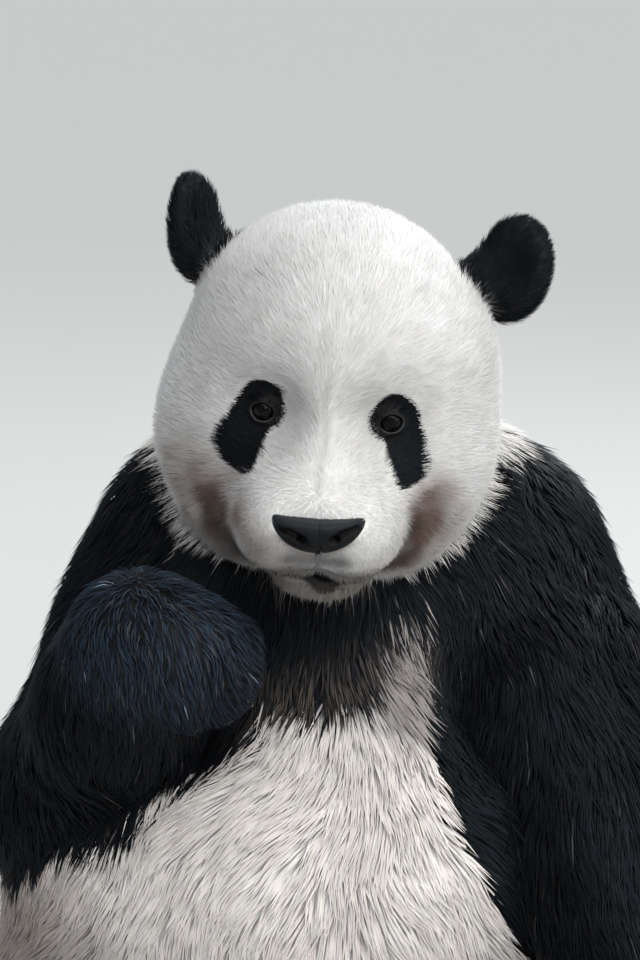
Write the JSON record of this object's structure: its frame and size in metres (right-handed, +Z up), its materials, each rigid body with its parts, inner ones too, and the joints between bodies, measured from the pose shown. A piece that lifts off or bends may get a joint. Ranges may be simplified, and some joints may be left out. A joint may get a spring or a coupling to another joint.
{
  "type": "giant panda",
  "caption": "Life-size giant panda sitting on its rump with hind legs forward, one forepaw raised beside its chin and the other on its shin; a still model.",
  "frame": {"origin": "on the floor, under the middle of the body's bounding box", "axes": "+Z up; the animal faces -Y, and its right side is at -X"},
  "size_m": [0.7946, 0.7956, 0.9654],
  "materials": {
    "white_coat": "matt, slightly coarse fur",
    "black_coat": "matt fur with a cool sheen",
    "nose_leather": "moist, pebbled",
    "eye": "wet gloss"
  },
  "bodies": {
    "root": {"head": "white_coat", "lower_jaw": "white_coat", "nose": "nose_leather", "eye_right": "eye", "eye_left": "eye", "ear_right": "black_coat", "ear_left": "black_coat", "neck": "white_coat", "trunk": "white_coat", "tail": "white_coat", "upper_arm_right": "black_coat", "forearm_right": "black_coat", "forepaw_right": "black_coat", "upper_arm_left": "black_coat", "forearm_left": "black_coat", "forepaw_left": "black_coat", "thigh_right": "black_coat", "shank_right": "black_coat", "hind_foot_right": "black_coat", "thigh_left": "black_coat", "shank_left": "black_coat", "hind_foot_left": "black_coat"}
  },
  "joints": []
}
